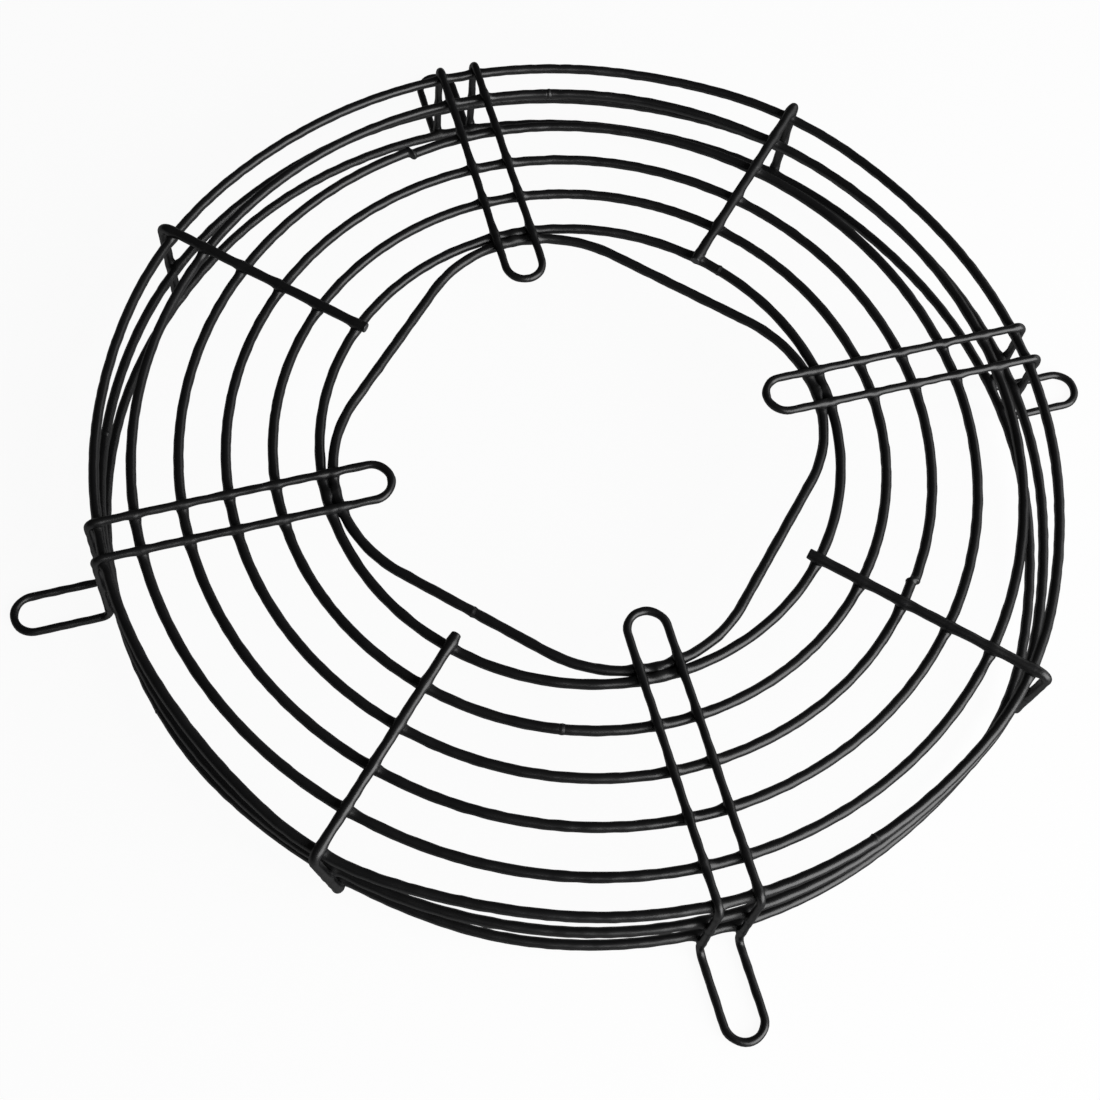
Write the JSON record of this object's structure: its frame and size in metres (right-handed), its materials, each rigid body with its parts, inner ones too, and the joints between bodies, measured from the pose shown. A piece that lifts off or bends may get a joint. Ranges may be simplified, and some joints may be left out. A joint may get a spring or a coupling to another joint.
{
  "type": "wire fan guard",
  "caption": "Round guard for an axial fan: concentric steel wire rings and a deep rim, welded to radial wire loops that carry the motor and bend down into slotted feet.",
  "frame": {"origin": "on the standing plane, under the centre of the rings", "axes": "+Z away from the fan, out of the face; the mounting loops lie along X and Y"},
  "size_m": [0.3444, 0.3444, 0.04],
  "materials": {
    "coated_wire": "black powder coat, satin to gloss"
  },
  "bodies": {
    "root": {"motor_ring": "coated_wire", "face_ring_1": "coated_wire", "face_ring_2": "coated_wire", "face_ring_3": "coated_wire", "face_ring_4": "coated_wire", "face_ring_5": "coated_wire", "rim_ring_1": "coated_wire", "rim_ring_2": "coated_wire", "rim_ring_3": "coated_wire", "mounting_loop_1": "coated_wire", "mounting_loop_2": "coated_wire", "mounting_loop_3": "coated_wire", "mounting_loop_4": "coated_wire", "stay_1": "coated_wire", "stay_2": "coated_wire", "stay_3": "coated_wire", "stay_4": "coated_wire"}
  },
  "joints": []
}
